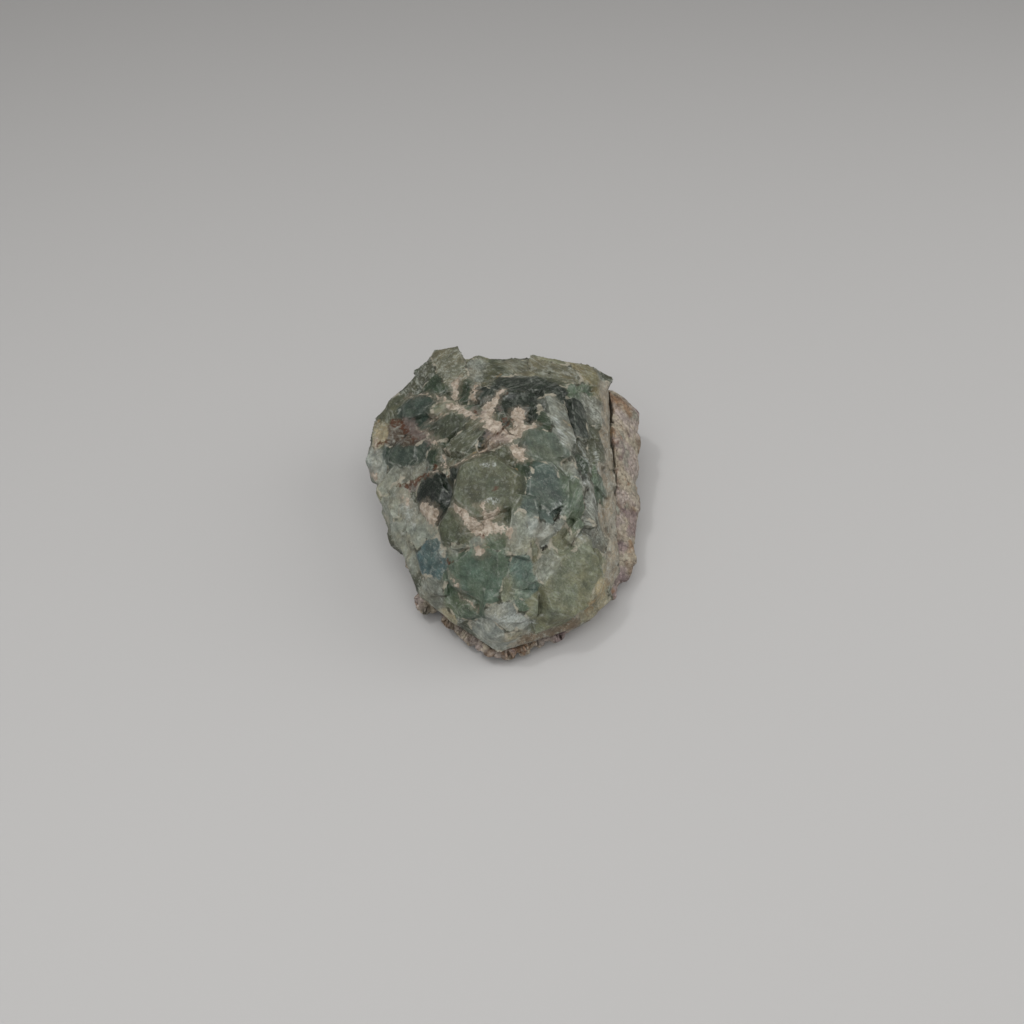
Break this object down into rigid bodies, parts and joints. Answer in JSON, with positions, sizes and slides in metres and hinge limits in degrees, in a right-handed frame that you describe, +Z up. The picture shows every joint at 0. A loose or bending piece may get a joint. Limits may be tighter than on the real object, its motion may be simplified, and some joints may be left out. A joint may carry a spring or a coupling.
{
  "type": "fluorite specimen",
  "caption": "Hand-sized mineral specimen: a mass of intergrown green fluorite crystals on a lilac-brown crust, lying flat on its underside.",
  "frame": {"origin": "middle of the underside, on the surface that the specimen rests on", "axes": "+Z up; +Y runs along the specimen from its narrow tip, at -Y, to its broad high end; +X points to the side with the high crust"},
  "size_m": [0.0714, 0.0822, 0.0392],
  "materials": {
    "fluorite": "cloudy grey-green crystal, satin, with frosted edges, cream and rust veins",
    "crust": "granular, buff to lilac with rust stains, matt"
  },
  "bodies": {
    "root": {"green_fluorite": "fluorite", "lilac_crust": "crust"}
  },
  "joints": []
}
